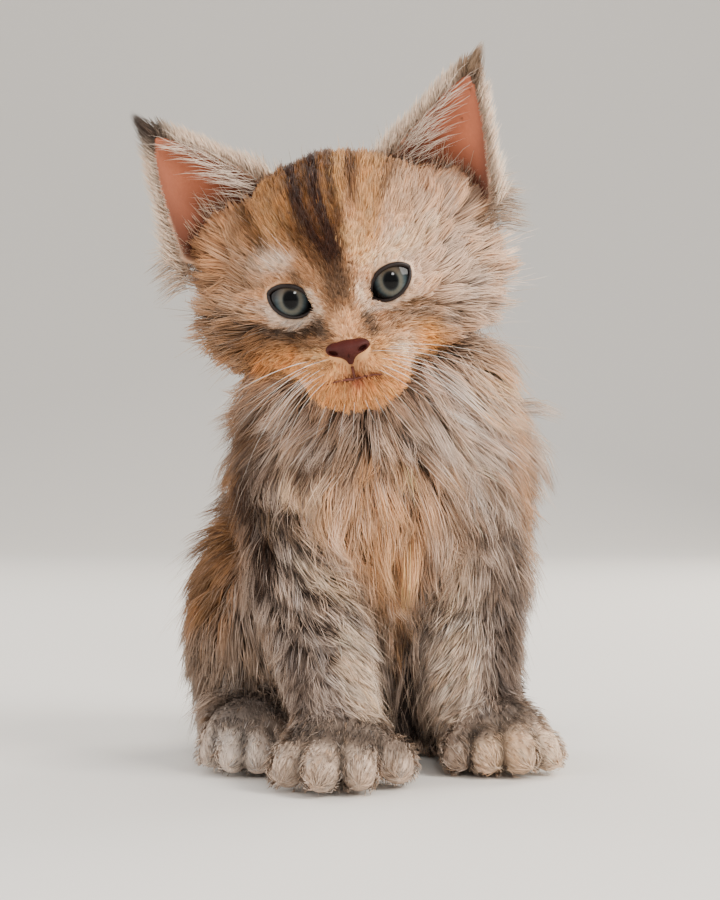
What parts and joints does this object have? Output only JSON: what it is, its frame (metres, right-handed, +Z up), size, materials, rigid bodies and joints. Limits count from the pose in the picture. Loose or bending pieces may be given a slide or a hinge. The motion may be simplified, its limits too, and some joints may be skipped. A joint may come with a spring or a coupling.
{
  "type": "maine coon kitten",
  "caption": "Sitting longhaired tabby kitten with tall tufted ears, grey-blue eyes, a tilted head and a soft silver and brown coat.",
  "frame": {"origin": "middle of the footprint's bounding box, on the floor", "axes": "+Z up, the kitten faces -Y, its own left side is +X"},
  "size_m": [0.1156, 0.1805, 0.1933],
  "materials": {
    "coat_head": "soft fur with tabby marks",
    "coat_body": "long soft fur with tabby marks",
    "coat_legs": "soft fur with bands",
    "coat_tail": "long soft fur with rings",
    "ear": "thin skin with fine hair",
    "nose_leather": "moist and finely pebbled",
    "eye": "wet and glossy"
  },
  "bodies": {
    "root": {"ear_left": "ear", "ear_right": "ear", "eye_left": "eye", "eye_right": "eye", "foreleg_left": "coat_legs", "foreleg_right": "coat_legs", "forepaw_left": "coat_legs", "forepaw_right": "coat_legs", "head": "coat_head", "hindpaw_left": "coat_legs", "hindpaw_right": "coat_legs", "neck": "coat_body", "nose": "nose_leather", "tail_base": "coat_tail", "tail_middle": "coat_tail", "tail_tip": "coat_tail", "thigh_left": "coat_body", "thigh_right": "coat_body", "trunk": "coat_body"}
  },
  "joints": []
}
